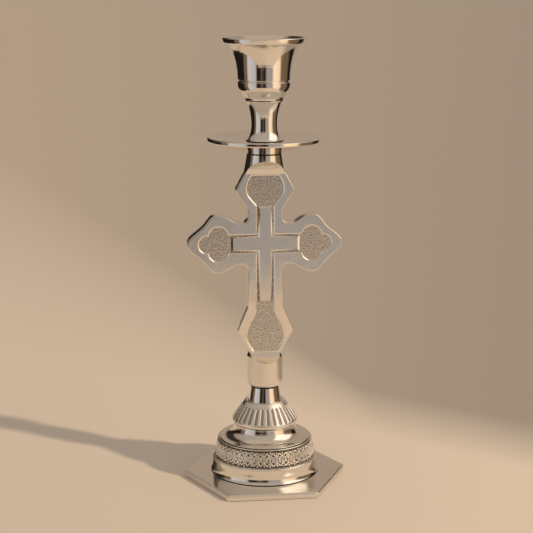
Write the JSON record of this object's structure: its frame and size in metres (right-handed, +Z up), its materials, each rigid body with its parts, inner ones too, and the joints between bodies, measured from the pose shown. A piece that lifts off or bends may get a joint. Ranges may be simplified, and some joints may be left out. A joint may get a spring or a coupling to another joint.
{
  "type": "candlestick",
  "caption": "Polished metal altar candlestick: a flared candle cup and round drip pan on a trefoil-ended cross, over a fluted collar, drum and hexagonal plate.",
  "frame": {"origin": "centre of the bounding box at the underside of the hexagonal plate, on the axis of the turned parts", "axes": "+Z up along the candle's axis, the arms of the cross along X, the front of the cross facing -Y"},
  "size_m": [0.0874, 0.081, 0.235],
  "materials": {
    "polished_silver": "polished silver plate with fine wiping scratches and dark tarnish in the corners",
    "chased_silver": "raised bright ornament on a dark stippled ground",
    "zinc_steel": "zinc plated, satin"
  },
  "bodies": {
    "stand": {"base_plate": "polished_silver", "base_drum": "polished_silver", "ornament_band": "chased_silver", "base_bell": "polished_silver", "fluted_collar": "polished_silver", "base_neck": "polished_silver", "tie_rod": "zinc_steel", "clamp_washer": "zinc_steel", "spring_washer": "zinc_steel", "hex_nut": "zinc_steel", "cross_body": "polished_silver"},
    "pan": {"drip_pan": "polished_silver"},
    "cup": {"cup_neck": "polished_silver", "candle_cup": "polished_silver", "cup_stud": "zinc_steel", "neck_grub_screw": "zinc_steel", "pan_retaining_ring": "zinc_steel"}
  },
  "joints": [
    {"name": "pan_rise", "type": "slide", "parent": "stand", "child": "pan", "axis": [0, 0, 1], "range_m": [0, 0.0071]},
    {"name": "cup_unscrew", "type": "hinge", "parent": "pan", "child": "cup", "pos_m": [0, 0, 0.175], "axis": [0, 0, 1], "range_deg": [0, 2520]}
  ],
  "couplings": [
    {"joint": "pan_rise", "follows": "cup_unscrew", "m_per_rad": 0.00015915}
  ]
}
